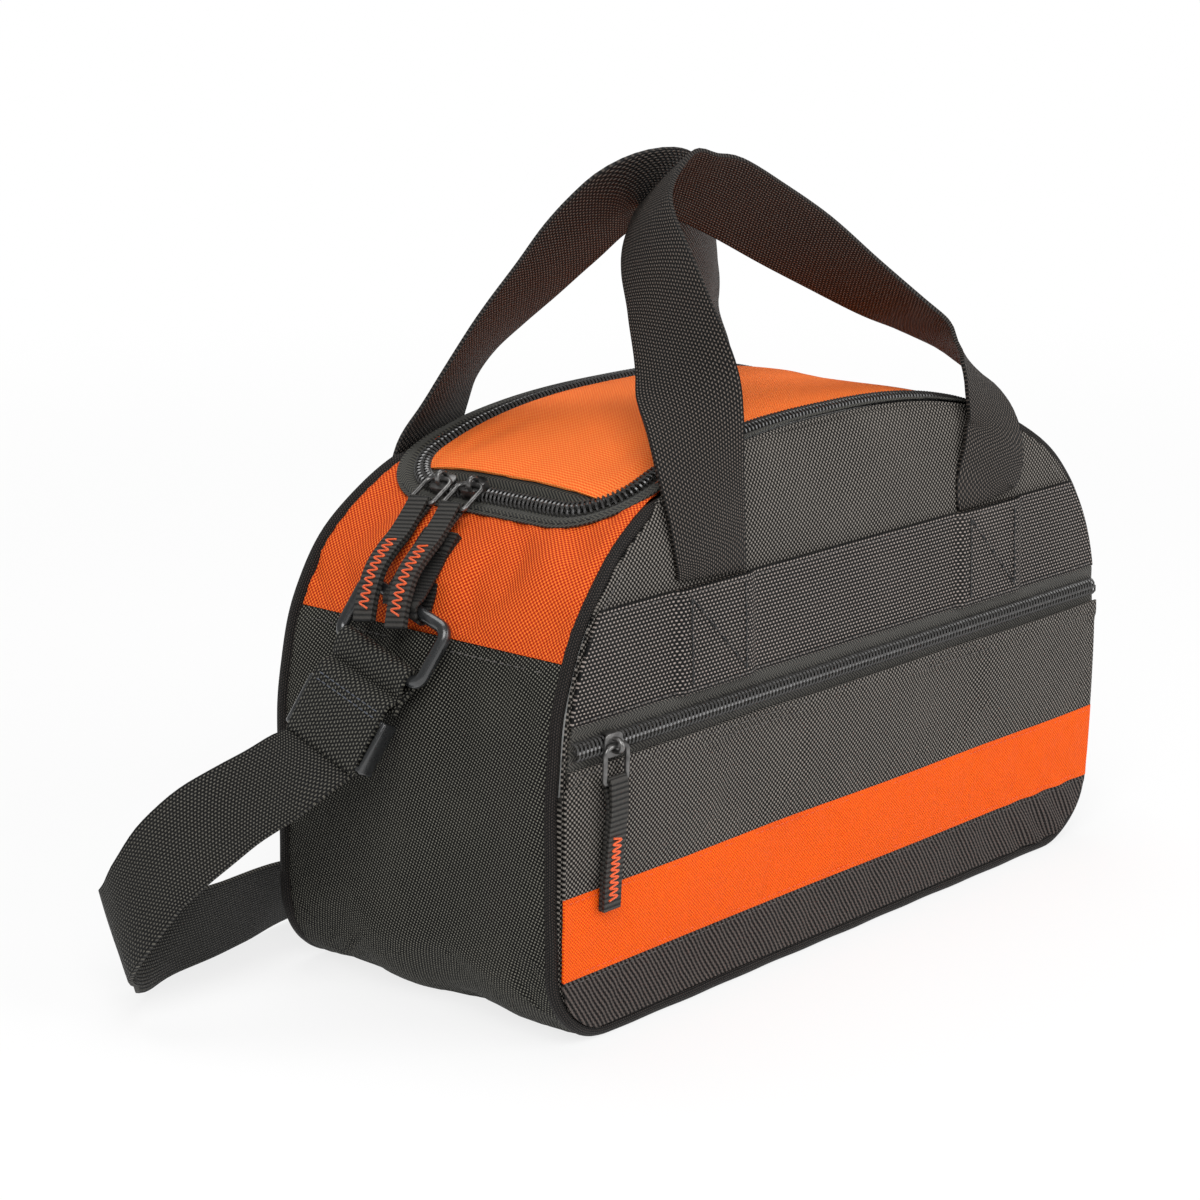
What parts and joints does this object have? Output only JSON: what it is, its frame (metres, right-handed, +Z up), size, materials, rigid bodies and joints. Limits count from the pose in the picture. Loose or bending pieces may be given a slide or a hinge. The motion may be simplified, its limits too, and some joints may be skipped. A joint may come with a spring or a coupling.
{
  "type": "cooler bag",
  "caption": "Soft insulated cooler bag with an arched zip-open lid, front zip pocket, twin webbing carry handles and a shoulder strap with rings and a slide adjuster",
  "frame": {"origin": "middle of the base, on the plane that the bag stands on", "axes": "+X along the bag towards the lid's hinge end, -Y the front panel with the pocket, +Z up"},
  "size_m": [0.4853, 0.1844, 0.3],
  "materials": {
    "grey_fabric": "charcoal woven polyester",
    "orange_fabric": "orange woven polyester",
    "webbing": "black woven webbing and tape",
    "foam": "white closed-cell foam sheet",
    "foil": "silver film liner",
    "black_plastic": "black moulded plastic",
    "zip_chain": "black nylon coil",
    "dark_metal": "dark gunmetal"
  },
  "bodies": {
    "bag": {"back_band": "webbing", "back_foam": "foam", "back_handle_end_left": "webbing", "back_handle_end_right": "webbing", "back_panel": "grey_fabric", "back_piping": "webbing", "base_foam": "foam", "base_panel": "grey_fabric", "front_band": "webbing", "front_foam": "foam", "front_handle_end_left": "webbing", "front_handle_end_right": "webbing", "front_panel": "grey_fabric", "front_piping": "webbing", "inner_liner": "foil", "left_foam": "foam", "left_gusset_lower": "grey_fabric", "left_gusset_upper": "orange_fabric", "left_ring": "black_plastic", "left_ring_tab": "webbing", "main_zip_chain": "zip_chain", "main_zip_tape": "webbing", "pocket_lower_panel": "grey_fabric", "pocket_panel": "grey_fabric", "pocket_stripe": "orange_fabric", "pocket_zip_chain": "zip_chain", "pocket_zip_tape": "webbing", "right_foam": "foam", "right_gusset_lower": "grey_fabric", "right_gusset_upper": "orange_fabric", "right_ring": "black_plastic", "right_ring_tab": "webbing", "shoulder_strap": "webbing"},
    "lid": {"lid_panel": "orange_fabric", "lid_foam": "foam", "lid_liner": "foil", "lid_zip_tape": "webbing", "lid_zip_chain": "zip_chain"},
    "front_handle_body": {"front_handle": "webbing"},
    "back_handle_body": {"back_handle": "webbing"},
    "front_main_slider_body": {"front_main_slider": "dark_metal"},
    "rear_main_slider_body": {"rear_main_slider": "dark_metal"},
    "front_main_pull_body": {"front_main_pull": "webbing", "front_main_pull_bail": "dark_metal"},
    "rear_main_pull_body": {"rear_main_pull": "webbing", "rear_main_pull_bail": "dark_metal"},
    "pocket_slider_body": {"pocket_slider": "dark_metal"},
    "pocket_pull_body": {"pocket_pull": "webbing", "pocket_pull_bail": "dark_metal"},
    "adjuster_body": {"strap_adjuster": "black_plastic"}
  },
  "joints": [
    {"name": "lid_hinge", "type": "hinge", "parent": "bag", "child": "lid", "pos_m": [0.112, 0, 0.1853], "axis": [0, 1, 0], "range_deg": [0, 90]},
    {"name": "front_handle_swing", "type": "hinge", "parent": "bag", "child": "front_handle_body", "pos_m": [0, -0.0702, 0.158], "axis": [1, 0, 0], "range_deg": [0, 103.5]},
    {"name": "back_handle_swing", "type": "hinge", "parent": "bag", "child": "back_handle_body", "pos_m": [0, 0.0702, 0.158], "axis": [-1, 0, 0], "range_deg": [0, 103.5]},
    {"name": "front_main_slide", "type": "slide", "parent": "lid", "child": "front_main_slider_body", "axis": [0, -1, 0], "range_m": [0, 0.034]},
    {"name": "rear_main_turn", "type": "hinge", "parent": "lid", "child": "rear_main_slider_body", "pos_m": [-0.10095, 0.0285, 0.19225], "axis": [0.4999, 0, -0.8661], "range_deg": [0, 20]},
    {"name": "front_pull_swing", "type": "hinge", "parent": "front_main_slider_body", "child": "front_main_pull_body", "pos_m": [-0.12225, 0.011, 0.18515], "axis": [0, 1, 0], "range_deg": [0, 90]},
    {"name": "rear_pull_swing", "type": "hinge", "parent": "rear_main_slider_body", "child": "rear_main_pull_body", "pos_m": [-0.12225, 0.0268, 0.18515], "axis": [0, 1, 0], "range_deg": [0, 90]},
    {"name": "pocket_slide", "type": "slide", "parent": "bag", "child": "pocket_slider_body", "axis": [1, 0, 0], "range_m": [0, 0.288]},
    {"name": "pocket_pull_swing", "type": "hinge", "parent": "pocket_slider_body", "child": "pocket_pull_body", "pos_m": [-0.144, -0.07693, 0.1095], "axis": [-1, 0, 0], "range_deg": [0, 90]},
    {"name": "adjuster_slide", "type": "slide", "parent": "bag", "child": "adjuster_body", "axis": [-0.4251, 0.2591, -0.8673], "range_m": [-0.006, 0]}
  ],
  "couplings": [
    {"joint": "front_handle_swing", "follows": "lid_hinge", "ratio": 1.15},
    {"joint": "back_handle_swing", "follows": "lid_hinge", "ratio": 1.15}
  ]
}
